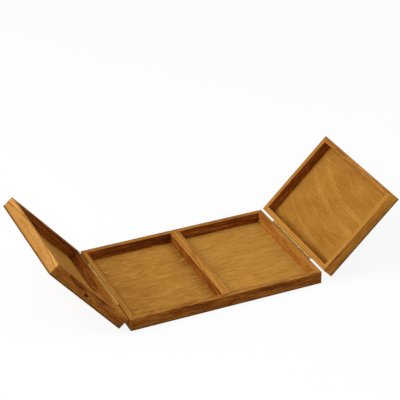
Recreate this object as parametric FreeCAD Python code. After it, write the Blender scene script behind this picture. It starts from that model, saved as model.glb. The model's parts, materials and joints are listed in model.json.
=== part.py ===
import FreeCAD, Part
import os

# A flat wooden case: a base tray with one divider, and two lid trays that open outwards on piano hinges.
# Millimetres. +X runs along the length, +Y to the back, +Z up; the origin is the middle of the underside.

# Case sizes
case_length = 300.0
case_width = 202.0
base_height = 19.0
lid_height = 18.4
rail_thickness = 8.0
panel_thickness = 3.0
divider_thickness = 14.0
divider_housing_depth = 2.0
corner_radius = 1.5
edge_radius = 0.5

# Gaps between the trays when the case is shut
seam_gap = 0.3
meeting_gap = 0.6

# How far each lid stands open at rest, in degrees
left_lid_open_angle = 129.9
right_lid_open_angle = 135.8

# Piano hinge sizes
hinge_length = 120.0
lid_knuckle_count = 12
knuckle_gap = 0.3
leaf_thickness = 0.6
leaf_reach = 7.0
pin_diameter = 1.6
pin_clearance = 0.05
pin_head_diameter = 2.4
pin_head_length = 0.4
barrel_wall = 0.65
barrel_standoff = 0.1
notch_clearance = 0.3

# Countersunk wood screw sizes
screws_per_leaf = 4
screw_end_distance = 15.0
screw_shank_diameter = 1.8
screw_head_diameter = 3.2
screw_length = 6.0
screw_point_length = 1.2
screw_slot_width = 0.5
screw_slot_depth = 0.4
screw_clearance = 0.02

# Places worked out from the sizes above
half_length = case_length / 2
half_width = case_width / 2
lid_rim_level = base_height + seam_gap
lid_top_level = lid_rim_level + lid_height
pin_level = base_height + seam_gap / 2
barrel_radius = pin_diameter / 2 + pin_clearance + barrel_wall
pin_offset = barrel_standoff + barrel_radius
pin_distance = half_length + pin_offset
notch_reach = barrel_radius + notch_clearance
knuckle_count = 2 * lid_knuckle_count + 1
knuckle_pitch = (hinge_length + knuckle_gap) / knuckle_count
screw_drop = (notch_reach + leaf_reach) / 2
cut_margin = 1.0
tolerance = 1e-6

Vector = FreeCAD.Vector
along_x = Vector(1, 0, 0)
along_y = Vector(0, 1, 0)
along_z = Vector(0, 0, 1)


def block(x_limits, y_limits, z_limits):
    """A square-edged block between pairs of limits, given in either order."""
    low = Vector(min(x_limits), min(y_limits), min(z_limits))
    high = Vector(max(x_limits), max(y_limits), max(z_limits))
    size = high - low
    return Part.makeBox(size.x, size.y, size.z, low)


def plan_corners(x_low, x_high, y_half):
    """The corners of a rectangle in plan, counter-clockwise from the front left."""
    return [(x_low, -y_half), (x_high, -y_half), (x_high, y_half), (x_low, y_half)]


def upright_prism(corners, z_low, z_high):
    """A prism that stands on a plan outline."""
    points = [Vector(x, y, z_low) for x, y in corners]
    outline = Part.makePolygon(points + points[:1])
    return Part.Face(outline).extrude(along_z * (z_high - z_low))


def edges_at_level(shape, level):
    """The edges that lie wholly at one height."""
    return [edge for edge in shape.Edges if all(abs(end.Z - level) < tolerance for end in edge.Vertexes)]


def runs_along(edge, direction):
    """Whether a straight edge is parallel to a direction."""
    return edge.tangentAt(edge.FirstParameter).cross(direction).Length < tolerance


def sanded_envelope(x_low, x_high, rim_level, outer_level):
    """The outside of a tray: upright corners rounded, rim and panel edges softened."""
    solid = block((x_low, x_high), (-half_width, half_width), (rim_level, outer_level))
    uprights = [edge for edge in solid.Edges if runs_along(edge, along_z)]
    solid = solid.makeFillet(corner_radius, uprights)
    borders = edges_at_level(solid, rim_level) + edges_at_level(solid, outer_level)
    return solid.makeFillet(edge_radius, borders)


def soften_inner_edge(rail, inner_start, inner_end, rim_level):
    """Round the rim edge on a rail's inner side."""
    middle = Vector((inner_start[0] + inner_end[0]) / 2, (inner_start[1] + inner_end[1]) / 2, rim_level)
    rim_edges = edges_at_level(rail, rim_level)
    inner_edge = min(rim_edges, key=lambda edge: edge.CenterOfMass.distanceToPoint(middle))
    return rail.makeFillet(edge_radius, [inner_edge])


def tray(x_low, x_high, rim_level, outer_level):
    """Four mitred rails and the panel that covers them, by the side each one lies on."""
    panel_face = outer_level - panel_thickness if outer_level > rim_level else outer_level + panel_thickness
    envelope = sanded_envelope(x_low, x_high, rim_level, outer_level)
    rail_z = sorted((rim_level, panel_face))
    outer = plan_corners(x_low, x_high, half_width)
    inner = plan_corners(x_low + rail_thickness, x_high - rail_thickness, half_width - rail_thickness)
    pieces = {}
    for start, side in enumerate(("front", "right", "back", "left")):
        end = (start + 1) % len(outer)
        rail = upright_prism([outer[start], outer[end], inner[end], inner[start]], *rail_z)
        rail = soften_inner_edge(rail, inner[start], inner[end], rim_level)
        pieces[side] = rail.common(envelope)
    panel = block((x_low, x_high), (-half_width, half_width), (panel_face, outer_level))
    pieces["panel"] = panel.common(envelope)
    return pieces


def divider():
    """The cross bar, flush with the rim, its ends let into the front and back rails."""
    reach = half_width - rail_thickness + divider_housing_depth
    half_thickness = divider_thickness / 2
    bar = block((-half_thickness, half_thickness), (-reach, reach), (panel_thickness, base_height))
    long_edges = [edge for edge in edges_at_level(bar, base_height) if runs_along(edge, along_y)]
    return bar.makeFillet(edge_radius, long_edges)


def divider_housing(bar):
    """The square-edged room that the divider takes up in the rails."""
    box = bar.BoundBox
    top = box.ZMax + cut_margin
    return block((box.XMin, box.XMax), (box.YMin, box.YMax), (box.ZMin, top))


def knuckle_limits(index):
    """Where one knuckle starts and ends along the pin."""
    start = -hinge_length / 2 + index * knuckle_pitch
    return start, start + knuckle_pitch - knuckle_gap


def pin_cylinder(side, radius, start, end):
    """A cylinder about the hinge pin's axis."""
    return Part.makeCylinder(radius, end - start, Vector(side * pin_distance, start, pin_level), along_y)


def hinge_leaf(side, upward, first_knuckle, screw_holes):
    """One leaf: a strip screwed to the end face, with every second knuckle of the barrel."""
    x_limits = (side * half_length, side * (half_length + leaf_thickness))
    far_edge = pin_level + upward * leaf_reach
    notch_edge = pin_level + upward * notch_reach
    seam_edge = pin_level + upward * seam_gap / 2
    leaf = block(x_limits, (-hinge_length / 2, hinge_length / 2), (notch_edge, far_edge))
    additions = []
    for index in range(first_knuckle, knuckle_count, 2):
        start, end = knuckle_limits(index)
        additions.append(block(x_limits, (start, end), (seam_edge, notch_edge)))
        additions.append(pin_cylinder(side, barrel_radius, start, end))
    leaf = leaf.fuse(additions).removeSplitter()
    bore_radius = pin_diameter / 2 + pin_clearance
    bore_end = hinge_length / 2 + cut_margin
    leaf = leaf.cut(pin_cylinder(side, bore_radius, -bore_end, bore_end))
    return leaf.cut(screw_holes)


def hinge_pin(side):
    """The pin, its two ends spread so that it stays in the barrel."""
    end = hinge_length / 2
    shaft = pin_cylinder(side, pin_diameter / 2, -end, end)
    near_head = pin_cylinder(side, pin_head_diameter / 2, -end - pin_head_length, -end)
    far_head = pin_cylinder(side, pin_head_diameter / 2, end, end + pin_head_length)
    return shaft.fuse([near_head, far_head]).removeSplitter()


def screw_form(side, y, z, clearance, rise):
    """A countersunk screw's outline turned about its axis; the rise lets a hole break out of the leaf."""
    head_radius = screw_head_diameter / 2 + clearance
    shank_radius = screw_shank_diameter / 2 + clearance
    top = half_length + leaf_thickness
    tip = top - screw_length - clearance
    outline = [
        (top + rise, 0),
        (top + rise, head_radius + rise),
        (top - head_radius + shank_radius, shank_radius),
        (tip + screw_point_length, shank_radius),
        (tip, 0),
    ]
    points = [Vector(side * x, y, z + radius) for x, radius in outline]
    face = Part.Face(Part.makePolygon(points + points[:1]))
    return face.revolve(Vector(side * top, y, z), along_x, 360)


def screw_places(upward):
    """The middle of each screw in one leaf, as (y, z)."""
    first = -hinge_length / 2 + screw_end_distance
    step = (hinge_length - 2 * screw_end_distance) / (screws_per_leaf - 1)
    level = pin_level + upward * screw_drop
    return [(first + index * step, level) for index in range(screws_per_leaf)]


def slotted_screw(side, y, z):
    """A screw that fills its hole, with one slot across its head."""
    top = half_length + leaf_thickness
    slot_x = (side * (top - screw_slot_depth), side * (top + cut_margin))
    slot_y = (y - screw_head_diameter, y + screw_head_diameter)
    slot_z = (z - screw_slot_width / 2, z + screw_slot_width / 2)
    return screw_form(side, y, z, 0, 0).cut(block(slot_x, slot_y, slot_z))


def screws(side, upward):
    """The screws of one leaf, as a group."""
    return Part.makeCompound([slotted_screw(side, y, z) for y, z in screw_places(upward)])


def screw_holes(side, upward):
    """The holes for the screws of one leaf, through the leaf and into the rail."""
    return [screw_form(side, y, z, screw_clearance, cut_margin) for y, z in screw_places(upward)]


def base_nodes():
    """The base tray and its divider."""
    pieces = tray(-half_length, half_length, base_height, 0)
    bar = divider()
    housing = divider_housing(bar)
    return {
        "base_front_rail": pieces["front"].cut(housing),
        "base_back_rail": pieces["back"].cut(housing),
        "base_left_rail": pieces["left"].cut(screw_holes(-1, -1)),
        "base_right_rail": pieces["right"].cut(screw_holes(1, -1)),
        "base_bottom_panel": pieces["panel"],
        "base_divider": bar,
    }


def lid_nodes(side, hand, outer_side, inner_side):
    """One lid tray, shut."""
    x_low, x_high = sorted((side * meeting_gap / 2, side * half_length))
    pieces = tray(x_low, x_high, lid_rim_level, lid_top_level)
    return {
        hand + "_lid_front_rail": pieces["front"],
        hand + "_lid_back_rail": pieces["back"],
        hand + "_lid_hinge_rail": pieces[outer_side].cut(screw_holes(side, 1)),
        hand + "_lid_meeting_rail": pieces[inner_side],
        hand + "_lid_top_panel": pieces["panel"],
        hand + "_hinge_lid_leaf": hinge_leaf(side, 1, 1, screw_holes(side, 1)),
        hand + "_hinge_lid_screws": screws(side, 1),
    }


def fixed_hinge_nodes(side, hand):
    """The half of a hinge that stays with the base."""
    return {
        hand + "_hinge_base_leaf": hinge_leaf(side, -1, 0, screw_holes(side, -1)),
        hand + "_hinge_pin": hinge_pin(side),
        hand + "_hinge_base_screws": screws(side, -1),
    }


def opened(nodes, side, angle):
    """Turn a shut lid's pieces about its pin, free end up and outwards."""
    pin = Vector(side * pin_distance, 0, pin_level)
    for shape in nodes.values():
        shape.rotate(pin, along_y * side, angle)
    return nodes


def case_nodes():
    """Every piece of the open case by name."""
    nodes = base_nodes()
    nodes.update(fixed_hinge_nodes(-1, "left"))
    nodes.update(fixed_hinge_nodes(1, "right"))
    nodes.update(opened(lid_nodes(-1, "left", "left", "right"), -1, left_lid_open_angle))
    nodes.update(opened(lid_nodes(1, "right", "right", "left"), 1, right_lid_open_angle))
    return nodes


os.makedirs("parts", exist_ok=True)
for name, shape in case_nodes().items():
    if not shape.isValid():
        raise ValueError(name + " is not a valid solid")
    shape.exportStep("parts/" + name + ".step")
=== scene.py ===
import json
import math

import bpy
from bpy.props import FloatProperty, FloatVectorProperty, PointerProperty
from mathutils import Matrix, Vector


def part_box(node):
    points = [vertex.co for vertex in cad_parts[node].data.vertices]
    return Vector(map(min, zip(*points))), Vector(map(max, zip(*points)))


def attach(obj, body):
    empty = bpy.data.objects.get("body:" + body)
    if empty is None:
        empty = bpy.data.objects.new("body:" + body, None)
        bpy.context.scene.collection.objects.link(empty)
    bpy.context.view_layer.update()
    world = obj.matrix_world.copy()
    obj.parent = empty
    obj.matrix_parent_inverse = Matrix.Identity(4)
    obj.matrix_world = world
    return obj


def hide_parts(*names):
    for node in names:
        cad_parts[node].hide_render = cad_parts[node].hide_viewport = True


bl_info = {
    "name": "Two-Lid Wooden Case",
    "version": (1, 0, 0),
    "blender": (4, 5, 0),
    "location": "View3D > Sidebar > Case",
    "description": "Sawn and stained wooden trays, piano hinges and a studio for a flat two-lid case",
    "category": "Add Mesh",
}

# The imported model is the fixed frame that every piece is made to.
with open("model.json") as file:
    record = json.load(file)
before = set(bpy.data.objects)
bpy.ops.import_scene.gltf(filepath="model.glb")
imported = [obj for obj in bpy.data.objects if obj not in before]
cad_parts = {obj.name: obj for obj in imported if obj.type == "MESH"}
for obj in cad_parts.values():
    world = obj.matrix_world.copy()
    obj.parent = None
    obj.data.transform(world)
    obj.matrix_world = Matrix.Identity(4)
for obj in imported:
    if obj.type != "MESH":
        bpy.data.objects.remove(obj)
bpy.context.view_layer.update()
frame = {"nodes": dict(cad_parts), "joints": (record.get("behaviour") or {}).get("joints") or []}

floor_low, floor_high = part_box("base_bottom_panel")
rail_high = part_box("base_front_rail")[1]
bar_low, bar_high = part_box("base_divider")
screw_low, screw_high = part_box("left_hinge_base_screws")
joints = {joint["child"]: joint for joint in frame["joints"]}

HANDS = {"left": -1, "right": 1}
SCREWS_A_LEAF = 4
ALONG = Vector((1, 0, 0))
ACROSS = Vector((0, 1, 0))
UP = Vector((0, 0, 1))

# Lengths closer than this, in metres, count as equal, and faces this nearly aligned as parallel.
NEAR = 1e-6
PARALLEL = 0.999

# Edges that turn by more than this stay sharp.
SHARP_ANGLE = math.radians(32)

# Faces on each rounded corner, softened edge and joint chamfer, and round a pilot hole.
CORNER_STEPS = 6
EDGE_STEPS = 4
CHAMFER_STEPS = 1
HOLE_STEPS = 24

# A housing cutter stands this far above the rim.
CUTTER_MARGIN = 0.001


# Sizes and colours a user would change

def length(name, description, default):
    """A length property in metres."""
    return FloatProperty(name=name, description=description, default=default, precision=5, unit="LENGTH")


def colour(name, description, default):
    """A colour property."""
    return FloatVectorProperty(
        name=name, description=description, default=(*default, 1.0), size=4, min=0, max=1, subtype="COLOR"
    )


def angle(name, description, default):
    """An angle property, its default given in degrees."""
    return FloatProperty(name=name, description=description, default=math.radians(default), subtype="ANGLE")


def power(name, description, default):
    """A lamp's power in watts."""
    return FloatProperty(name=name, description=description, default=default, unit="POWER")


class CaseSizes(bpy.types.PropertyGroup):
    """Sizes of the wooden pieces."""

    case_length: length("Case length", "Outer length of the base", floor_high.x - floor_low.x)
    case_width: length("Case width", "Outer width of the base", floor_high.y - floor_low.y)
    base_height: length("Base height", "From the underside to the rim of the base", rail_high.z)
    panel_thickness: length("Panel thickness", "Thickness of the plywood", floor_high.z - floor_low.z)
    rail_thickness: length("Rail thickness", "Thickness of every rail", 0.008)
    lid_height: length("Lid height", "From the rim of a lid to its top", 0.0184)
    seam_gap: length("Seam gap", "Gap between base and lids when shut", 0.0003)
    meeting_gap: length("Meeting gap", "Gap between the two lids when shut", 0.0006)
    corner_radius: length("Corner radius", "Rounding of the upright corners", 0.0015)
    edge_radius: length("Edge radius", "Softening of rims and outer edges", 0.0005)
    screw_pitch: length("Screw pitch", "Distance between the screws of a hinge leaf", 0.030)
    pilot_radius: length("Pilot radius", "Radius of the screws' pilot holes", 0.00102)
    pilot_depth: length("Pilot depth", "Depth of the screws' pilot holes", 0.00545)
    joint_chamfer: length("Joint line", "Tiny chamfer that shows where two pieces are glued", 0.00006)


class CaseColours(bpy.types.PropertyGroup):
    """Colours of the finishes."""

    rail_light: colour("Rail, light grain", "Lightest grain of the rails", (0.60, 0.255, 0.033))
    rail_pale: colour("Rail, pale board", "Lightest grain of the palest lid rail", (0.59, 0.292, 0.078))
    rail_middle: colour("Rail, middle grain", "Most of the rails", (0.385, 0.136, 0.020))
    rail_deep: colour("Rail, deep grain", "Darker, redder grain of the rails", (0.265, 0.072, 0.009))
    rail_dark: colour("Rail, dark grain", "Darkest grain of the rails", (0.12, 0.032, 0.006))
    # Rubbed edges, and a painted highlight on the rims.
    rail_rubbed_and_lit: colour("Rail, rubbed edge", "Rims and edges where the stain is thin", (0.52, 0.245, 0.048))
    knot: colour("Knot", "Heart of the knot in one lid rail", (0.068, 0.021, 0.002))
    veneer_light: colour("Veneer, light grain", "Lightest grain of the plywood", (0.58, 0.295, 0.056))
    veneer_middle: colour("Veneer, middle grain", "Most of the plywood", (0.462, 0.208, 0.034))
    veneer_dark: colour("Veneer, dark grain", "Darkest grain of the plywood", (0.28, 0.108, 0.012))
    ply_core: colour("Ply core", "Middle layer on the edge of the plywood", (0.11, 0.036, 0.006))
    brass: colour("Brass", "Clean brass of the hinges", (0.82, 0.53, 0.17))
    tarnish: colour("Tarnish", "Dull film on the brass", (0.36, 0.25, 0.075))
    # Painted shade for the inner side of the hinge barrels.
    barrel_shade: colour("Grime", "Dirt in the hinges' corners", (0.022, 0.014, 0.005))
    steel: colour("Steel", "Hinge pins", (0.52, 0.51, 0.49))


class CaseStage(bpy.types.PropertyGroup):
    """Camera, lamps and floor."""

    look_at: FloatVectorProperty(
        name="Look at", description="Point in the middle of the picture",
        default=(0.07570, 0.16845, 0.019), size=3, subtype="TRANSLATION",
    )
    distance: length("Distance", "From the camera to that point", 2.37542)
    azimuth: angle("Azimuth", "Turn of the camera round the case", -23.845)
    elevation: angle("Elevation", "Height of the camera above the horizon", 29.364)
    roll: angle("Roll", "Lean of the camera", -0.416)
    lens: FloatProperty(name="Lens", description="Focal length in millimetres", default=135.25)
    key_power: power("Key lamp", "Power of the large soft lamp", 42.0)
    fill_power: power("Fill lamp", "Power of the weaker lamp", 16.0)
    lamp_distance: length("Lamp distance", "From the lamps to the case", 2.2)
    room_light: FloatProperty(name="Room light", description="Strength of light from all round", default=0.44)
    floor: colour("Floor", "Pale studio floor, as it lights the case", (0.38, 0.38, 0.38))
    shadow_depth: FloatProperty(
        name="Shadow", description="How dark the case's shadow on the floor looks",
        default=0.12, min=0, max=1, subtype="FACTOR",
    )


# Modelling steps, as at the bench

def add_block(name, low, high):
    """A square block at its size and place, its origin at the scene's origin."""
    bpy.ops.object.select_all(action="DESELECT")
    bpy.ops.mesh.primitive_cube_add(size=1, location=(low + high) / 2, scale=high - low)
    return settle_new(name)


def settle_new(name):
    """The object just added, named, its origin moved to the scene's origin."""
    bpy.ops.object.transform_apply(location=True, rotation=True, scale=True)
    made = bpy.context.object
    made.name = name
    made.data.name = name
    return made


def pick(piece):
    """Make a piece active and the only one selected."""
    bpy.ops.object.select_all(action="DESELECT")
    bpy.context.view_layer.objects.active = piece
    piece.select_set(True)


def pick_edges(piece, wanted):
    """Enter edit mode with only the wanted edges selected, judged by their two ends."""
    bpy.ops.object.mode_set(mode="EDIT")
    bpy.ops.mesh.select_mode(type="EDGE")
    bpy.ops.mesh.select_all(action="DESELECT")
    bpy.ops.object.mode_set(mode="OBJECT")
    points = piece.data.vertices
    found = 0
    for edge in piece.data.edges:
        start, end = (points[index].co for index in edge.vertices)
        edge.select = wanted(start, end)
        found += edge.select
    if not found:
        raise RuntimeError("no edge to shape on " + piece.name)
    bpy.ops.object.mode_set(mode="EDIT")


def soften(piece, wanted, radius, segments):
    """Round the wanted edges."""
    pick_edges(piece, wanted)
    bpy.ops.mesh.bevel(offset=radius, segments=segments, profile=0.5, affect="EDGES")
    bpy.ops.object.mode_set(mode="OBJECT")


def saw(place, waste):
    """Cut the active piece along a plane, drop the side that waste points to and close the cut."""
    bpy.ops.object.mode_set(mode="EDIT")
    bpy.ops.mesh.select_all(action="SELECT")
    bpy.ops.mesh.bisect(plane_co=place, plane_no=waste, use_fill=True, clear_outer=True, threshold=1e-7)
    bpy.ops.object.mode_set(mode="OBJECT")


def cut_away(piece, cutter):
    """Take the shape of a cutter out of a piece."""
    pick(piece)
    cut = piece.modifiers.new("Cut", "BOOLEAN")
    cut.operation = "DIFFERENCE"
    cut.solver = "EXACT"
    cut.object = cutter
    bpy.ops.object.modifier_apply(modifier=cut.name)
    bpy.data.objects.remove(cutter)


def chop(piece, low, high):
    """Cut a square housing out of a piece."""
    cut_away(piece, add_block("housing_cutter", low, high))


def drill(piece, side, level):
    """Bore pointed pilot holes for one hinge leaf's screws into the end face on one side of the case."""
    blunt_share = 0.1
    sizes = bpy.context.scene.case_sizes
    face = side * sizes.case_length / 2
    point = face - side * sizes.pilot_depth
    for index in range(SCREWS_A_LEAF):
        bpy.ops.object.select_all(action="DESELECT")
        bpy.ops.mesh.primitive_cylinder_add(
            vertices=HOLE_STEPS, radius=sizes.pilot_radius, depth=2 * sizes.pilot_depth,
            location=(face, (index - (SCREWS_A_LEAF - 1) / 2) * sizes.screw_pitch, level),
            rotation=(0, math.radians(90), 0),
        )
        bit = settle_new("pilot_bit")
        soften(
            bit, lambda start, end: abs(start.x - point) < NEAR and abs(end.x - point) < NEAR,
            sizes.pilot_radius * (1 - blunt_share), CHAMFER_STEPS,
        )
        cut_away(piece, bit)


def level_edge(level):
    """A test for edges that lie at one height."""
    return lambda start, end: abs(start.z - level) < NEAR and abs(end.z - level) < NEAR


def upright_edge(start, end):
    """True for an edge that stands up."""
    return abs(start.z - end.z) > NEAR and (start.xy - end.xy).length < NEAR


def smooth_finish(piece):
    """Smooth rounded edges and keep flat faces flat."""
    pick(piece)
    bpy.ops.object.shade_smooth_by_angle(angle=SHARP_ANGLE)
    weighted = piece.modifiers.new("Flat faces", "WEIGHTED_NORMAL")
    weighted.keep_sharp = True
    bpy.ops.object.modifier_apply(modifier=weighted.name)


def middle_of(piece):
    """Middle of a piece's box."""
    corners = [Vector(corner) for corner in piece.bound_box]
    return sum(corners, Vector()) / len(corners)


def lay_grain(piece, along, through, heart, board, tone):
    """Store the wood's own directions on the mesh, so that its grain turns with it.

    Heart is where the tree's heart lay, from the middle of the piece along, across and through the wood.
    Tone is how much lighter than the rest the piece is: a number, or a function of place.
    """
    mesh = piece.data
    tone_at = tone if callable(tone) else lambda place: tone
    across = through.cross(along)
    middle = middle_of(piece)
    mesh.attributes.new("grain", "FLOAT_VECTOR", "POINT")
    mesh.attributes.new("board", "FLOAT", "POINT")
    mesh.attributes.new("tone", "FLOAT", "POINT")
    for index, point in enumerate(mesh.vertices):
        place = point.co - middle
        directions = Vector((place.dot(along), place.dot(across), place.dot(through)))
        mesh.attributes["grain"].data[index].vector = directions - Vector(heart)
        mesh.attributes["board"].data[index].value = board
        mesh.attributes["tone"].data[index].value = tone_at(point.co)


def rim_tone(tray, rim, sides):
    """One tone for a rail's rim and another for its sides."""
    return lambda place: rim if abs(place.z - tray["rim"]) < NEAR else sides


def rub_edges(piece, rim, flats):
    """Store where the stain is rubbed, and where the rims are painted lighter as a painted highlight: most on
    level edges, less on the rim, least on upright corners.
    """
    edge_wear, rim_wear_and_highlight, corner_wear = 1.0, 0.85, 0.35
    level_lean = 0.05
    mesh = piece.data
    rubbed_and_highlit = mesh.attributes.new("rubbed_and_highlit", "FLOAT", "CORNER")
    for face in mesh.polygons:
        on_rim = rim is not None and face.normal.dot(rim) > PARALLEL
        on_flat = max(abs(value) for value in face.normal) > PARALLEL
        edge = edge_wear if abs(face.normal.z) > level_lean else corner_wear
        for corner in face.loop_indices:
            place = mesh.vertices[mesh.loops[corner].vertex_index].co
            rounded = all(abs(place[axis] - level) > NEAR for axis, level in flats)
            if on_rim:
                rubbed_and_highlit.data[corner].value = rim_wear_and_highlight
            elif rounded and not on_flat:
                rubbed_and_highlit.data[corner].value = edge


def mark_place(piece, turn):
    """Store where each point lies from a panel's middle, with the hinge along +X and the inner face up."""
    mesh = piece.data
    middle = middle_of(piece)
    mesh.attributes.new("place", "FLOAT_VECTOR", "POINT")
    for index, point in enumerate(mesh.vertices):
        mesh.attributes["place"].data[index].vector = (point.co - middle) * turn


def finish_piece(piece, body, node, material, place=None):
    """Turn a piece to where it rests, give it its finish, attach it to its body and hide the part it stands
    for.
    """
    smooth_finish(piece)
    if place is not None:
        piece.matrix_world = place
        bpy.ops.object.transform_apply(location=True, rotation=True, scale=True)
    piece.data.materials.clear()
    piece.data.materials.append(material)
    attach(piece, body)
    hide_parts(node)


# The three trays

def open_turn(hand):
    """The turn that takes a shut lid to its open rest."""
    joint = joints[hand + "_lid"]
    pin = Matrix.Translation(joint["pos_m"])
    turn = Matrix.Rotation(math.radians(-joint["range_deg"][0]), 4, Vector(joint["axis"]))
    return pin @ turn @ pin.inverted()


def base_tray():
    """Limits of the base."""
    sizes = bpy.context.scene.case_sizes
    return {
        "x": (-sizes.case_length / 2, sizes.case_length / 2),
        "rim": sizes.base_height,
        "seat": sizes.panel_thickness,
        "face": 0.0,
    }


def lid_tray(hand):
    """Limits of one lid, shut, with its body and the turn that opens it."""
    sizes = bpy.context.scene.case_sizes
    side = HANDS[hand]
    rim = sizes.base_height + sizes.seam_gap
    return {
        "body": hand + "_lid",
        "x": tuple(sorted((side * sizes.meeting_gap / 2, side * sizes.case_length / 2))),
        "rim": rim,
        "seat": rim + sizes.lid_height - sizes.panel_thickness,
        "face": rim + sizes.lid_height,
        "place": open_turn(hand),
    }


def tray_corners(tray, levels):
    """Lowest and highest corner of a tray between two levels."""
    half_width = bpy.context.scene.case_sizes.case_width / 2
    low_level, high_level = sorted(levels)
    low = Vector((tray["x"][0], -half_width, low_level))
    high = Vector((tray["x"][1], half_width, high_level))
    return low, high


def mitred_rail(tray, name, out):
    """One rail of a tray: a block with softened corners and rim, mitred at both ends.

    Out points off the tray. The rail comes back with the direction it runs in.
    """
    sizes = bpy.context.scene.case_sizes
    axis = 0 if out.x else 1
    low, high = tray_corners(tray, (tray["rim"], tray["seat"]))
    ends = (low.copy(), high.copy())
    if out[axis] > 0:
        low[axis] = high[axis] - sizes.rail_thickness
        face = high[axis]
    else:
        high[axis] = low[axis] + sizes.rail_thickness
        face = low[axis]
    piece = add_block(name, low, high)
    soften(
        piece, lambda start, end: upright_edge(start, end) and abs(start[axis] - face) < NEAR,
        sizes.corner_radius, CORNER_STEPS,
    )
    soften(piece, level_edge(tray["rim"]), sizes.edge_radius, EDGE_STEPS)
    along = ACROSS if axis == 0 else ALONG
    cuts = []
    for end, corner in zip((-1, 1), ends):
        place = corner.copy()
        place[axis] = face
        waste = (along * end - out).normalized()
        saw(place, waste)
        cuts.append((place, waste))

    def at_joint(start, end):
        seated = level_edge(tray["seat"])(start, end)
        sawn = any(
            abs((start - place).dot(waste)) < NEAR and abs((end - place).dot(waste)) < NEAR
            for place, waste in cuts
        )
        return seated or sawn

    soften(piece, at_joint, sizes.joint_chamfer, CHAMFER_STEPS)
    rim = UP if tray["rim"] > tray["seat"] else -UP
    rub_edges(piece, rim, [(axis, low[axis]), (axis, high[axis]), (2, low.z), (2, high.z)])
    return piece, along


def tray_panel(tray, name):
    """The plywood that closes a tray, its corners and outer edge softened with the rails."""
    sizes = bpy.context.scene.case_sizes
    low, high = tray_corners(tray, (tray["seat"], tray["face"]))
    piece = add_block(name, low, high)
    soften(piece, upright_edge, sizes.corner_radius, CORNER_STEPS)
    soften(piece, level_edge(tray["face"]), sizes.edge_radius, EDGE_STEPS)
    soften(piece, level_edge(tray["seat"]), sizes.joint_chamfer, CHAMFER_STEPS)
    flats = [(axis, level) for axis in range(3) for level in (low[axis], high[axis])]
    rub_edges(piece, None, flats)
    hinge_side = 1 if high.x > sizes.case_length / 4 else -1
    inner_side = 1 if tray["rim"] > tray["seat"] else -1
    mark_place(piece, Vector((hinge_side, 1, inner_side)))
    return piece


def panel_opening(tray):
    """Length and width of a panel's inner face between the rails."""
    sizes = bpy.context.scene.case_sizes
    rails = 2 * sizes.rail_thickness
    return tray["x"][1] - tray["x"][0] - rails, sizes.case_width - rails


# Finishes

class Nodes:
    """Builds the nodes of a material or a world, one by one."""

    def __init__(self, owner, output):
        owner.use_nodes = True
        self.tree = owner.node_tree
        self.tree.nodes.clear()
        self.output = self.add(output)

    def add(self, kind, **settings):
        """One shader node with its settings."""
        node = self.tree.nodes.new("ShaderNode" + kind)
        for key, value in settings.items():
            setattr(node, key, value)
        return node

    def feed(self, socket, value):
        """Join a socket to another, or set it to a plain value."""
        if isinstance(value, bpy.types.NodeSocket):
            self.tree.links.new(value, socket)
        else:
            socket.default_value = value

    def maths(self, operation, *values, clamp=False):
        """Arithmetic on sockets and numbers."""
        node = self.add("Math", operation=operation, use_clamp=clamp)
        for socket, value in zip(node.inputs, values):
            self.feed(socket, value)
        return node.outputs[0]

    def mix(self, factor, first, second):
        """Two colours mixed."""
        node = self.add("Mix", data_type="RGBA")
        self.feed(node.inputs["Factor"], factor)
        self.feed(node.inputs[6], first)
        self.feed(node.inputs[7], second)
        return node.outputs[2]

    def seen_directly(self):
        """1 for rays from the camera and for reflections of the room, else 0."""
        path = self.add("LightPath")
        total = path.outputs["Is Camera Ray"]
        for output in ("Is Glossy Ray", "Is Transmission Ray"):
            total = self.maths("MAXIMUM", total, path.outputs[output])
        return total

    def show(self, shader):
        """Join a shader to the output."""
        self.feed(self.output.inputs["Surface"], shader.outputs[0])


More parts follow.
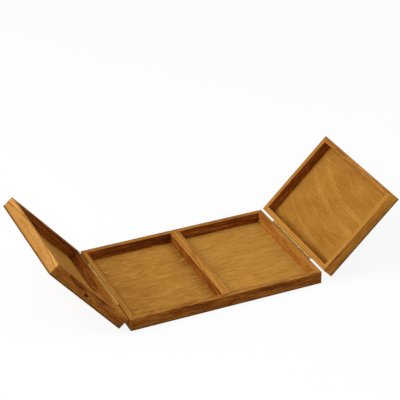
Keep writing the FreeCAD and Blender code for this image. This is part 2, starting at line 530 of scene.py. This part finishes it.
class Finish(Nodes):
    """Builds one material."""

    def __init__(self, name):
        self.material = bpy.data.materials.new(name)
        super().__init__(self.material, "OutputMaterial")

    def attribute(self, name, output):
        """A value stored on the mesh."""
        return self.add("Attribute", attribute_name=name).outputs[output]

    def object_place(self):
        """Place in the case, in metres."""
        return self.add("TexCoord").outputs["Object"]

    def axes(self, vector):
        """The three measures of a vector."""
        node = self.add("SeparateXYZ")
        self.feed(node.inputs[0], vector)
        return tuple(node.outputs)

    def stretch(self, vector, scale, shift):
        """A vector scaled and shifted, so that a pattern is drawn out along the grain."""
        node = self.add("Mapping")
        self.feed(node.inputs["Vector"], vector)
        self.feed(node.inputs["Scale"], scale)
        self.feed(node.inputs["Location"], shift)
        return node.outputs[0]

    def waves(self, dimensions, socket, place, detail, roughness):
        """A noise texture along one measure or through space."""
        node = self.add("TexNoise", noise_dimensions=dimensions)
        self.feed(node.inputs[socket], place)
        for key, value in (("Scale", 1.0), ("Detail", detail), ("Roughness", roughness)):
            node.inputs[key].default_value = value
        return node.outputs["Fac"]

    def noise(self, vector, scale, detail, roughness=0.5, shift=(0, 0, 0)):
        """Soft noise with so many waves a metre in each direction."""
        return self.waves("3D", "Vector", self.stretch(vector, scale, shift), detail, roughness)

    def bands(self, position, detail, roughness):
        """Uneven stripes along one measure, like years of growth."""
        return self.waves("1D", "W", position, detail, roughness)

    def spread(self, value, low, high, to_low=0.0, to_high=1.0):
        """A value moved smoothly from one range to another, and kept inside it."""
        node = self.add("MapRange", interpolation_type="SMOOTHSTEP")
        for socket, number in zip(node.inputs, (value, low, high, to_low, to_high)):
            self.feed(socket, number)
        return node.outputs[0]

    def ramp(self, factor, stops):
        """A colour for each place on a scale from 0 to 1."""
        node = self.add("ValToRGB")
        elements = node.color_ramp.elements
        while len(elements) < len(stops):
            elements.new(0.5)
        for element, (position, value) in zip(elements, stops):
            element.position = position
            element.color = value
        self.feed(node.inputs[0], factor)
        return node.outputs[0]

    def brightness(self, colour_value, factor):
        """A colour made lighter or darker by a factor."""
        node = self.add("VectorMath", operation="SCALE")
        if not isinstance(colour_value, bpy.types.NodeSocket):
            colour_value = colour_value[:3]
        self.feed(node.inputs[0], colour_value)
        self.feed(node.inputs["Scale"], factor)
        return node.outputs[0]

    def relief(self, height, strength, depth):
        """A bump from a height."""
        node = self.add("Bump")
        node.inputs["Strength"].default_value = strength
        node.inputs["Distance"].default_value = depth
        self.feed(node.inputs["Height"], height)
        return node.outputs[0]

    def surface(self, **values):
        """The shader, joined to the output."""
        shader = self.add("BsdfPrincipled")
        for key, value in values.items():
            self.feed(shader.inputs[key.replace("_", " ")], value)
        self.show(shader)
        return self.material


# A board's number picks its stretch of the patterns. The rails of the base are 1 to 4.
FLOOR_BOARD = 5
DIVIDER_BOARD = 6
FIRST_LID_RAIL_BOARD = 7
FIRST_LID_PANEL_BOARD = 20

# How far along and across the patterns move on from one board to the next.
BOARD_STEP = (0.61, 0.37)

# How much the stained wood mirrors.
SATIN_SHINE = 0.03


def colours():
    """The case's colours."""
    return bpy.context.scene.case_colours


def wood_places(wood):
    """The stored grain, its three measures, and a copy moved on to a different stretch for each board."""
    grain = wood.attribute("grain", "Vector")
    board = wood.attribute("board", "Fac")
    move = wood.add("CombineXYZ")
    for socket, step in zip(move.inputs, BOARD_STEP):
        wood.feed(socket, wood.maths("MULTIPLY", board, step))
    moved = wood.add("VectorMath", operation="ADD")
    wood.feed(moved.inputs[0], grain)
    wood.feed(moved.inputs[1], move.outputs[0])
    return grain, wood.axes(grain), moved.outputs[0]


def hypotenuse(finish, first, second):
    """Length of the slope over two lengths at right angles."""
    square = finish.maths("MULTIPLY", first, first)
    return finish.maths("SQRT", finish.maths("MULTIPLY_ADD", second, second, square))


def weighed(finish, start, parts):
    """A middle value plus the swing of each pattern times its weight."""
    total = start
    for pattern, weight in parts:
        total = finish.maths("ADD", total, finish.maths("MULTIPLY_ADD", pattern, weight, -weight / 2))
    return total


def growth_radius(wood, measures, stretch, sway, taper, bow=0.0):
    """Distance from the heart of a tree that sways, tapers and bows by so much."""
    along, across, through = measures
    bend = weighed(wood, 0, [(wood.noise(stretch, (6, 16, 16), 2), sway)])
    bend = wood.maths("MULTIPLY_ADD", wood.maths("MULTIPLY", along, along), -bow, bend)
    lean = weighed(wood, 0, [(wood.noise(stretch, (9, 22, 22), 2, shift=(3, 7, 1)), sway)])
    sideways = wood.maths("ADD", across, bend)
    inwards = wood.maths("ADD", wood.maths("MULTIPLY_ADD", along, taper, through), lean)
    return hypotenuse(wood, sideways, inwards)


def year_lines(wood, radius, stretch):
    """Growth rings a few millimetres wide: each grows darker to a thin line, and the next starts light."""
    years_a_metre = 143
    wander = wood.noise(stretch, (14, 120, 120), 2, shift=(1, 4, 2))
    years = wood.maths("MULTIPLY_ADD", wander, 0.16, wood.maths("MULTIPLY", radius, years_a_metre))
    season = wood.maths("FRACT", years)
    return wood.spread(season, 0.86, 0.985), wood.spread(season, 0.0, 0.5, 1, 0)


def distance_from(wood, grain, centre, share):
    """Distance from a point on a face, in which lengths along the grain count for a share."""
    scale = (share, 1, 0)
    shift = [-value * part for value, part in zip(centre, scale)]
    reach = wood.add("VectorMath", operation="LENGTH")
    wood.feed(reach.inputs[0], wood.stretch(grain, scale, shift))
    return reach.outputs["Value"]


def knot_heart(wood, grain, away):
    """The dark heart of a knot, with a ragged edge."""
    least, raggedness, fade = 0.0008, 0.0020, 0.0012
    edge = wood.maths("MULTIPLY_ADD", wood.noise(grain, (500, 500, 500), 2), raggedness, least)
    return wood.maths("SUBTRACT", 1, wood.spread(away, edge, wood.maths("ADD", edge, fade)))


def smoky_knot(wood, grain, stretch, knot, tone):
    """The tone of a board, darkened by two smoky streaks beside its knot."""
    streaks = ((Vector((0.015, -0.0045, 0)), 0.0055), (Vector((-0.030, -0.0075, 0)), 0.0045))
    for shift, reach in streaks:
        smoky = wood.spread(distance_from(wood, grain, knot + shift, 0.3), 0, reach, 1, 0)
        smoky = wood.maths("MULTIPLY", smoky, wood.noise(stretch, (90, 260, 260), 3))
        tone = wood.maths("MULTIPLY_ADD", smoky, -0.7, tone)
    return tone


def rail_wood(
    name, sway=0.014, taper=0.035, bow=0.5, spring=0.14, contrast=1.0, knot=None, lightest=None
):
    """Stained solid wood: growth rings cut lengthways, fibres, pores, blotches and rubbed edges.

    Sway, taper and bow shape the rings. Spring is how light the early wood is, and contrast is how strong
    the figure is.
    """
    bands_a_metre = 320
    shades = colours()
    wood = Finish(name)
    grain, measures, stretch = wood_places(wood)
    radius = growth_radius(wood, measures, stretch, sway, taper, bow)
    tone = wood.attribute("tone", "Fac")
    if knot is not None:
        away = distance_from(wood, grain, knot, 0.6)
        radius = wood.maths("ADD", radius, wood.spread(away, 0.0, 0.018, 0.005, 0))
        tone = smoky_knot(wood, grain, stretch, knot, tone)
    growth = wood.bands(wood.maths("MULTIPLY", radius, bands_a_metre), 2, 0.6)
    late_wood, early_wood = year_lines(wood, radius, stretch)
    if knot is not None:
        clear = wood.spread(away, 0.006, 0.022)
        late_wood = wood.maths("MULTIPLY", late_wood, clear)
        early_wood = wood.maths("MULTIPLY", early_wood, clear)
    fibre = wood.noise(stretch, (14, 420, 420), 4, 0.65)
    thread = wood.noise(stretch, (40, 1900, 1900), 2)
    blotch = wood.noise(stretch, (22, 80, 80), 3)
    mottle = wood.noise(stretch, (80, 340, 340), 3, 0.6)
    pores = wood.spread(wood.noise(stretch, (150, 3600, 3600), 1), 0.62, 0.74)
    swings = [(growth, 0.5), (fibre, 1.1), (thread, 0.5), (blotch, 0.7), (mottle, 0.8)]
    figure = weighed(wood, 0.54, [(pattern, weight * contrast) for pattern, weight in swings])
    figure = wood.maths("MULTIPLY_ADD", late_wood, -0.3, wood.maths("ADD", figure, tone))
    shade = wood.ramp(figure, [
        (0.0, shades.rail_dark),
        (0.3, shades.rail_deep),
        (0.55, shades.rail_middle),
        (1.0, lightest or shades.rail_light),
    ])
    # Rubbed stain on the edges, and a painted highlight on the rims, mix in a lighter colour.
    rubbed_and_highlit = wood.attribute("rubbed_and_highlit", "Fac")
    rubbed = wood.maths("MULTIPLY", rubbed_and_highlit, wood.spread(fibre, 0.2, 0.75, 0.35, 1))
    shade = wood.mix(rubbed, shade, wood.mix(wood.spread(figure, 0, 1, 0.5, 1), shade, shades.rail_rubbed_and_lit))
    lightness = wood.maths("MULTIPLY_ADD", early_wood, spring, 1)
    lightness = wood.maths("MULTIPLY_ADD", late_wood, -0.2, lightness)
    shade = wood.brightness(shade, wood.maths("MULTIPLY_ADD", pores, -0.25, lightness))
    if knot is not None:
        shade = wood.mix(knot_heart(wood, grain, away), shade, shades.knot)
    dulled = wood.maths("MULTIPLY_ADD", pores, 0.12, wood.maths("MULTIPLY_ADD", fibre, 0.2, 0.6))
    height = wood.maths("MULTIPLY_ADD", pores, -0.7, wood.maths("MULTIPLY_ADD", thread, 0.35, fibre))
    return wood.surface(
        Base_Color=shade, Roughness=dulled, Normal=wood.relief(height, 0.25, 0.00012),
        Specular_IOR_Level=SATIN_SHINE,
    )


def stain_and_painted_shade(wood, opening, bar, hinge_shadow, back_shadow):
    """How far pooled stain and painted shade darken a panel's inner face.

    Stain and painted shade gather along the rails, but not at a lid's meeting end, and a painted shadow
    darkens it by so much by a lid's hinge or in a wedge along its back. Beside a bar of some width stain and
    painted shade gather on the left, and painted light lightens the right.
    """
    rail_reach, bar_reach, hinge_reach, raggedness = 0.004, 0.016, 0.013, 0.005
    place = wood.attribute("place", "Vector")
    lengthways, widthways, upwards = wood.axes(place)
    hinge_ends = wood.maths("ABSOLUTE", lengthways) if bar else lengthways
    to_ends = wood.maths("SUBTRACT", opening[0] / 2, hinge_ends)
    to_sides = wood.maths("SUBTRACT", opening[1] / 2, wood.maths("ABSOLUTE", widthways))
    ragged = wood.maths("MULTIPLY_ADD", wood.noise(place, (70, 70, 0), 3), raggedness, -raggedness / 2)

    def darken_near(distance, reach, amount):
        return wood.spread(wood.maths("ADD", distance, ragged), 0.0, reach, amount, 0)

    stain_and_shade = darken_near(wood.maths("MINIMUM", to_ends, to_sides), rail_reach, 0.5)
    if bar:
        to_left = wood.maths("ABSOLUTE", wood.maths("ADD", lengthways, bar / 2))
        stain_and_shade = wood.maths("MAXIMUM", stain_and_shade, darken_near(to_left, bar_reach, 0.55))
        past_bar = wood.maths("SUBTRACT", lengthways, bar / 2)
        # Painted light on the floor right of the bar, over the shade that falls there.
        painted_light_past_bar = wood.spread(past_bar, 0.010, 0.032, 0.45, 0)
        on_right = wood.spread(past_bar, -0.001, 0)
        stain_and_shade = wood.maths("SUBTRACT", stain_and_shade, wood.maths("MULTIPLY", painted_light_past_bar, on_right))
    # A painted shadow along a lid's hinge rail.
    if hinge_shadow:
        stain_and_shade = wood.maths("MAXIMUM", stain_and_shade, darken_near(to_ends, hinge_reach, hinge_shadow))
    # A painted shadow in a wedge along a lid's back.
    if back_shadow:
        widest, narrowest = 0.040, 0.003
        wedge = wood.spread(lengthways, -opening[0] / 2, opening[0] / 2, widest, narrowest)
        to_back = wood.maths("SUBTRACT", opening[1] / 2, widthways)
        share = wood.maths("DIVIDE", wood.maths("ADD", to_back, ragged), wedge)
        stain_and_shade = wood.maths("MAXIMUM", stain_and_shade, wood.spread(share, 0.2, 1.4, back_shadow, 0))
    return wood.maths("MULTIPLY", stain_and_shade, wood.spread(upwards, 0.001, 0.0014))


def veneer(name, taper, arches, streak, cloud, opening, bar=0.0, hinge_shadow=0.0, back_shadow=0.0):
    """Stained plywood: arched growth, streaks and clouds, each so strong, and ply lines on its edges.

    Opening is the length and width of the face between the rails, where the stain pools and painted shade
    falls.
    """
    sway, bands_a_metre = 0.012, 80
    core_ends, outer_starts = (0.00048, 0.0006), (0.0012, 0.0014)
    shades = colours()
    wood = Finish(name)
    _, measures, stretch = wood_places(wood)
    radius = growth_radius(wood, measures, stretch, sway, taper)
    rings = wood.maths("MULTIPLY", radius, bands_a_metre)
    worn_away = wood.spread(wood.noise(stretch, (18, 24, 0), 2, shift=(2, 9, 0)), 0.35, 0.65, 0.25, 1)
    growth = wood.maths("MULTIPLY", wood.spread(wood.bands(rings, 1, 0.5), 0.5, 0.72), worn_away)
    fibre = wood.noise(stretch, (26, 300, 0), 4, 0.7)
    thread = wood.noise(stretch, (70, 760, 0), 2)
    mottle = wood.noise(stretch, (260, 360, 0), 4, 0.65)
    drift = wood.noise(stretch, (22, 34, 0), 2, shift=(8, 3, 0))
    streaks = wood.spread(wood.noise(stretch, (38, 230, 0), 1, shift=(5, 2, 0)), 0.60, 0.73)
    flecks = wood.spread(wood.noise(stretch, (130, 3000, 0), 1), 0.62, 0.75)
    figure = weighed(
        wood, 0.48, [(growth, arches), (fibre, streak), (thread, streak), (mottle, cloud), (drift, 0.6)]
    )
    figure = wood.maths("MULTIPLY_ADD", streaks, streak / 2, figure)
    figure = wood.maths("ADD", figure, wood.attribute("tone", "Fac"))
    # Pooled stain and painted shade darken the inner face.
    figure = wood.maths("MULTIPLY_ADD", stain_and_painted_shade(wood, opening, bar, hinge_shadow, back_shadow), -0.7, figure)
    shade = wood.ramp(
        figure, [(0.0, shades.veneer_dark), (0.5, shades.veneer_middle), (1.0, shades.veneer_light)]
    )
    depth = wood.maths("ABSOLUTE", measures[2])
    shade = wood.brightness(shade, wood.spread(depth, *outer_starts, 0.6, 1))
    end_grain = wood.noise(stretch, (1500, 1500, 400), 2)
    core_shade = wood.brightness(shades.ply_core, wood.maths("MULTIPLY_ADD", end_grain, 0.9, 0.55))
    shade = wood.mix(wood.spread(depth, *core_ends, 1, 0), shade, core_shade)
    rubbed_and_highlit = wood.attribute("rubbed_and_highlit", "Fac")
    rubbed = wood.maths("MULTIPLY", rubbed_and_highlit, wood.spread(fibre, 0.2, 0.75, 0.3, 0.9))
    shade = wood.mix(rubbed, shade, shades.veneer_light)
    shade = wood.brightness(shade, wood.maths("MULTIPLY_ADD", flecks, -0.14, 1))
    dulled = wood.maths("MULTIPLY_ADD", fibre, 0.2, 0.68)
    height = wood.maths("MULTIPLY_ADD", flecks, -0.6, wood.maths("MULTIPLY_ADD", thread, 0.35, fibre))
    return wood.surface(
        Base_Color=shade, Roughness=dulled, Normal=wood.relief(height, 0.2, 0.0001),
        Specular_IOR_Level=SATIN_SHINE,
    )


def brass_finish(name, roughness):
    """Drawn brass: fine lines along it, tarnish thickest on the flat leaves, painted shade on the barrels'
    inner side.

    The painted shade leaves the barrels' upper and outer side bright, as a painted highlight.
    """
    shades = colours()
    metal = Finish(name)
    place = metal.object_place()
    lengthways, _, height = metal.axes(place)
    pin = joints["right_lid"]["pos_m"]
    hand = metal.maths("SIGN", lengthways)
    sideways = metal.maths("MULTIPLY_ADD", hand, -pin[0], lengthways)
    upwards = metal.maths("SUBTRACT", height, pin[2])
    on_barrel = metal.spread(hypotenuse(metal, sideways, upwards), 0.0019, 0.0024, 1, 0)
    lines = metal.noise(place, (5200, 60, 5200), 2)
    film = metal.noise(place, (260, 120, 260), 4, 0.6)
    spots = metal.spread(metal.noise(place, (1400, 1400, 1400), 2), 0.62, 0.72)
    dull = metal.maths("MULTIPLY_ADD", on_barrel, -0.4, metal.spread(film, 0.36, 0.66, 0.5, 1.0))
    dull = metal.maths("MULTIPLY_ADD", spots, 0.3, dull, clamp=True)
    shade = metal.mix(dull, shades.brass, shades.tarnish)
    # Painted shade: the barrels' lower, inner side is darkened and made non-metallic, so only a painted
    # highlight band stays bright.
    toward_highlight = metal.maths("MULTIPLY_ADD", sideways, -0.42, upwards)
    outwards = metal.maths("MULTIPLY", sideways, hand)
    inner_flank = metal.maths("MULTIPLY", metal.spread(outwards, 0.0004, 0.0009, 1, 0), on_barrel)
    barrel_shade_mask = metal.maths("MULTIPLY", metal.spread(toward_highlight, 0.00122, 0.00147, 0.95, 0), inner_flank)
    shade = metal.mix(barrel_shade_mask, shade, shades.barrel_shade)
    shine = metal.maths("MULTIPLY_ADD", lines, 0.14, metal.maths("MULTIPLY_ADD", dull, 0.2, roughness))
    shine = metal.maths("MULTIPLY_ADD", barrel_shade_mask, 0.3, shine)
    return metal.surface(
        Base_Color=shade, Metallic=metal.maths("SUBTRACT", 1, barrel_shade_mask), Roughness=shine,
        Normal=metal.relief(lines, 0.18, 0.00003), Specular_IOR_Level=0.1,
    )


def steel_finish(name):
    """Steel wire with fine rings and a few dull spots."""
    metal = Finish(name)
    place = metal.object_place()
    rings = metal.noise(place, (300, 4200, 300), 2)
    film = metal.noise(place, (500, 500, 500), 3)
    shine = metal.maths("MULTIPLY_ADD", rings, 0.16, 0.24)
    tint = metal.brightness(colours().steel, metal.spread(film, 0.3, 0.7, 0.72, 1.05))
    return metal.surface(
        Base_Color=tint, Metallic=1.0, Roughness=shine, Normal=metal.relief(rings, 0.12, 0.00002),
    )


# Operators, one for each piece or group of like pieces

class CASE_OT_base_rails(bpy.types.Operator):
    """Make the four mitred rails of the base"""

    bl_idname = "case.base_rails"
    bl_label = "Base rails"

    def execute(self, context):
        wood = rail_wood("sawn_rail_wood")
        straight = rail_wood("straight_rail_wood", sway=0.004, taper=0.01, bow=0.05, spring=0.1)
        tray = base_tray()
        rails = {
            "front": (-ACROSS, (0.05, -0.07, -0.03), lambda place: -0.17 - 0.2 * place.x),
            "back": (ACROSS, (-0.08, -0.05, -0.05), self.back_tone_and_shade),
            "left": (-ALONG, (0.02, -0.05, -0.02), 0.19),
            "right": (ALONG, (0.0, -0.09, -0.01), rim_tone(tray, -0.02, 0.15)),
        }
        for board, (side, (out, heart, tone)) in enumerate(rails.items(), start=1):
            node = "base_" + side + "_rail"
            piece, along = mitred_rail(tray, node + "_wood", out)
            if out.y:
                chop(piece, bar_low, bar_high + UP * CUTTER_MARGIN)
            else:
                drill(piece, out.x, (screw_low.z + screw_high.z) / 2)
            lay_grain(piece, along, out, heart, board, tone)
            finish_piece(piece, "base", node, wood if out.y else straight)
        return {"FINISHED"}

    def back_tone_and_shade(self, place):
        """The back rail is painted darker along the left compartment, darkest beside the divider, as painted
        shade, and its rim is lighter on the right.
        """
        on_rim = abs(place.z - rail_high.z) < NEAR
        if place.x > 0:
            return -0.04 if on_rim else -0.30
        return -0.38 if on_rim else -0.60 + 2.3 * (bar_low.x - place.x)


class CASE_OT_base_panel(bpy.types.Operator):
    """Make the plywood floor of the base"""

    bl_idname = "case.base_panel"
    bl_label = "Base panel"

    def execute(self, context):
        tray = base_tray()
        piece = tray_panel(tray, "base_bottom_panel_ply")
        heart = (0.1, -0.16, 0)
        # The floor is painted darker towards its left end, as painted shade where the open left lid shades
        # it.
        lay_grain(piece, ALONG, UP, heart, FLOOR_BOARD, lambda place: 0.17 + 0.9 * place.x)
        plywood = veneer(
            "streaked_plywood", taper=0.05, arches=0.15, streak=1.25, cloud=0.35,
            opening=panel_opening(tray), bar=bar_high.x - bar_low.x,
        )
        finish_piece(piece, "base", "base_bottom_panel", plywood)
        return {"FINISHED"}


class CASE_OT_base_divider(bpy.types.Operator):
    """Make the bar that parts the base"""

    bl_idname = "case.base_divider"
    bl_label = "Base divider"

    def execute(self, context):
        sizes = context.scene.case_sizes
        grain_lean = 0.07
        piece = add_block("base_divider_wood", bar_low, bar_high)
        top = level_edge(bar_high.z)
        soften(
            piece, lambda start, end: top(start, end) and abs(start.y - end.y) > NEAR,
            sizes.edge_radius, EDGE_STEPS,
        )
        soften(piece, level_edge(bar_low.z), sizes.joint_chamfer, CHAMFER_STEPS)
        rub_edges(piece, UP, [(0, bar_low.x), (0, bar_high.x), (2, bar_low.z), (2, bar_high.z)])
        along = (ACROSS + ALONG * grain_lean).normalized()
        lay_grain(piece, along, UP, (0, 0.03, -0.02), DIVIDER_BOARD, self.tone)
        wood = bpy.data.materials["sawn_rail_wood"]
        finish_piece(piece, "base", "base_divider", wood)
        return {"FINISHED"}

    def tone(self, place):
        """The sides darken a little towards the front, and the top is lightest along its left edge."""
        if abs(place.z - bar_high.z) > NEAR:
            return 0.6 * place.y - 0.13
        return 0.05 - 0.5 * place.y - 10 * place.x


class CASE_OT_lid_rails(bpy.types.Operator):
    """Make the four mitred rails of each lid, shut, and turn them to their open rest"""

    bl_idname = "case.lid_rails"
    bl_label = "Lid rails"

    def execute(self, context):
        plain = bpy.data.materials["sawn_rail_wood"]
        straight = bpy.data.materials["straight_rail_wood"]
        tones = {
            # The left lid's meeting rail has a lighter tone, partly paler wood and partly a painted sheen.
            "left": {"front": -0.02, "back": -0.29, "hinge": self.left_hinge_tone, "meeting": 0.31},
            "right": {
                "front": lambda place: 0.38 - 1.9 * place.x,
                "back": rim_tone(lid_tray("right"), 0.02, -0.19),
                "hinge": 0.19,
                "meeting": -0.08,
            },
        }
        hearts = {
            "front": (0.03, -0.012, -0.03),
            "back": (-0.05, 0.06, -0.03),
            "hinge": (0.02, 0.05, -0.03),
            "meeting": (-0.0067, 0.004, -0.0276),
        }
        knot = Vector((0.0066, 0.0024, 0.004))
        board = FIRST_LID_RAIL_BOARD
        for hand, side in HANDS.items():
            tray = lid_tray(hand)
            outs = {
                "front": -ACROSS,
                "back": ACROSS,
                "hinge": ALONG * side,
                "meeting": ALONG * -side,
            }
            for place, out in outs.items():
                node = hand + "_lid_" + place + "_rail"
                piece, along = mitred_rail(tray, node + "_wood", out)
                if place == "hinge":
                    pin_level = joints[tray["body"]]["pos_m"][2]
                    drill(piece, side, 2 * pin_level - (screw_low.z + screw_high.z) / 2)
                heart = hearts[place]
                lay_grain(piece, along, out, heart, board, tones[hand][place])
                wood = straight if place == "hinge" else plain
                if (hand, place) == ("left", "front"):
                    wood = rail_wood("knotted_rail_wood", knot=knot - Vector(heart))
                if (hand, place) == ("left", "meeting"):
                    wood = rail_wood(
                        "arched_rail_wood", sway=0.001, taper=0, bow=0.87, spring=0.22, contrast=0.55,
                        lightest=colours().rail_pale,
                    )
                finish_piece(piece, tray["body"], node, wood, tray["place"])
                board += 1
        return {"FINISHED"}

    def left_hinge_tone(self, place):
        """The end face is even, and the other faces darken towards the back."""
        if abs(place.x - floor_low.x) < NEAR:
            return 0.19
        return 0.05 - 4.8 * place.y


class CASE_OT_lid_panels(bpy.types.Operator):
    """Make the plywood top of each lid, shut, and turn it to its open rest"""

    bl_idname = "case.lid_panels"
    bl_label = "Lid panels"

    def execute(self, context):
        # Painted shadows: in a wedge along the left lid's back, and along the right lid's hinge rail.
        painted_shadows = {"left": {"back_shadow": 0.9}, "right": {"hinge_shadow": 0.42}}
        hearts = {"left": (0.04, -0.19, 0), "right": (-0.072, 0.183, 0)}
        # The left lid's panel is painted darker towards its hinge and its back, as painted shade.
        tones = {"left": lambda place: 0.30 + 1.3 * place.x - 0.7 * place.y, "right": 0.09}
        for board, (hand, heart) in enumerate(hearts.items(), start=FIRST_LID_PANEL_BOARD):
            tray = lid_tray(hand)
            node = hand + "_lid_top_panel"
            plywood = veneer(
                hand + "_lid_plywood", taper=0.7, arches=0.30, streak=0.4, cloud=0.9,
                opening=panel_opening(tray), **painted_shadows[hand],
            )
            piece = tray_panel(tray, node + "_ply")
            lay_grain(piece, ACROSS, UP, heart, board, tones[hand])
            finish_piece(piece, tray["body"], node, plywood, tray["place"])
        return {"FINISHED"}


class CASE_OT_hinges(bpy.types.Operator):
    """Finish the leaves, pins and screws of the two piano hinges"""

    bl_idname = "case.hinges"
    bl_label = "Piano hinges"

    def execute(self, context):
        finishes = {
            "leaf": brass_finish("drawn_brass", 0.26),
            "screws": brass_finish("turned_brass", 0.22),
            "pin": steel_finish("drawn_steel"),
        }
        for hand in HANDS:
            for part in ("base_leaf", "lid_leaf", "pin", "base_screws", "lid_screws"):
                slots = frame["nodes"][hand + "_hinge_" + part].data.materials
                slots.clear()
                slots.append(finishes[part.split("_")[-1]])
        return {"FINISHED"}


class CASE_OT_stage(bpy.types.Operator):
    """Make the floor, the lamps, the pale room and the camera"""

    bl_idname = "case.stage"
    bl_label = "Stage"

    def execute(self, context):
        stage = context.scene.case_stage
        self.floor(stage)
        self.room(stage)
        self.lamps(stage)
        self.camera(stage)
        context.scene.view_settings.view_transform = "Standard"
        return {"FINISHED"}

    def floor(self, stage):
        """A wide pale floor that shows white, with the case's soft shadow."""
        width, clearance = 24, 0.0002
        bpy.ops.object.select_all(action="DESELECT")
        bpy.ops.mesh.primitive_plane_add(size=width, location=(0, 0, -clearance))
        floor = settle_new("studio_floor")
        paint = Finish("studio_floor")
        seen = paint.seen_directly()
        matt = paint.add("BsdfDiffuse")
        paint.feed(matt.inputs["Color"], paint.mix(seen, stage.floor, (*[stage.shadow_depth] * 3, 1)))
        glow = paint.add("Emission")
        paint.feed(glow.inputs["Strength"], paint.maths("MULTIPLY", seen, 1 - stage.shadow_depth))
        both = paint.add("AddShader")
        paint.feed(both.inputs[0], matt.outputs[0])
        paint.feed(both.inputs[1], glow.outputs[0])
        paint.show(both)
        floor.data.materials.append(paint.material)

    def room(self, stage):
        """Even light from all round, paler where it is seen directly."""
        world = bpy.data.worlds.new("studio_room")
        bpy.context.scene.world = world
        room = Nodes(world, "OutputWorld")
        light = room.add("Background")
        strength = room.maths("MULTIPLY_ADD", room.seen_directly(), 1 - stage.room_light, stage.room_light)
        room.feed(light.inputs["Strength"], strength)
        room.show(light)

    def lamps(self, stage):
        """A large soft lamp on the left, and a weaker one in front on the right."""
        lamps = {
            "key_lamp": (stage.key_power, 2.2, Vector((-0.72, 0.10, 0.66))),
            "fill_lamp": (stage.fill_power, 1.6, Vector((0.70, -0.55, 0.50))),
        }
        for name, (watts, size, direction) in lamps.items():
            data = bpy.data.lights.new(name, "AREA")
            data.shape = "DISK"
            data.size = size
            data.energy = watts
            lamp = bpy.data.objects.new(name, data)
            bpy.context.scene.collection.objects.link(lamp)
            direction.normalize()
            lamp.location = direction * stage.lamp_distance
            lamp.rotation_euler = direction.to_track_quat("Z", "Y").to_euler()

    def camera(self, stage):
        """The camera at the photograph's viewing angle."""
        data = bpy.data.cameras.new("case_camera")
        data.sensor_width = 36.0
        data.lens = stage.lens
        data.clip_start = 0.05
        data.clip_end = 60.0
        camera = bpy.data.objects.new("case_camera", data)
        bpy.context.scene.collection.objects.link(camera)
        back = Vector((
            math.sin(stage.azimuth) * math.cos(stage.elevation),
            -math.cos(stage.azimuth) * math.cos(stage.elevation),
            math.sin(stage.elevation),
        ))
        camera.location = Vector(stage.look_at) + back * stage.distance
        camera.rotation_mode = "QUATERNION"
        lean = Matrix.Rotation(stage.roll, 3, "Z").to_quaternion()
        camera.rotation_quaternion = (-back).to_track_quat("-Z", "Y") @ lean
        bpy.context.scene.camera = camera


GROUPS = {"case_sizes": CaseSizes, "case_colours": CaseColours, "case_stage": CaseStage}

OPERATORS = (
    CASE_OT_base_rails,
    CASE_OT_base_panel,
    CASE_OT_base_divider,
    CASE_OT_lid_rails,
    CASE_OT_lid_panels,
    CASE_OT_hinges,
    CASE_OT_stage,
)


class VIEW3D_PT_case(bpy.types.Panel):
    """Lists the sizes, the colours and the steps of the case."""

    bl_idname = "VIEW3D_PT_case"
    bl_label = "Two-Lid Wooden Case"
    bl_space_type = "VIEW_3D"
    bl_region_type = "UI"
    bl_category = "Case"

    def draw(self, context):
        for heading in GROUPS:
            group = getattr(context.scene, heading)
            box = self.layout.box()
            for key in group.__annotations__:
                box.prop(group, key)
        for operator in OPERATORS:
            self.layout.operator(operator.bl_idname)


CLASSES = (*GROUPS.values(), *OPERATORS, VIEW3D_PT_case)


def register():
    for item in CLASSES:
        bpy.utils.register_class(item)
    for key, group in GROUPS.items():
        setattr(bpy.types.Scene, key, PointerProperty(type=group))


def unregister():
    for key in GROUPS:
        delattr(bpy.types.Scene, key)
    for item in reversed(CLASSES):
        bpy.utils.unregister_class(item)


def main():
    register()
    bpy.ops.case.base_rails()
    bpy.ops.case.base_panel()
    bpy.ops.case.base_divider()
    bpy.ops.case.lid_rails()
    bpy.ops.case.lid_panels()
    bpy.ops.case.hinges()
    bpy.ops.case.stage()


if __name__ == "__main__":
    main()
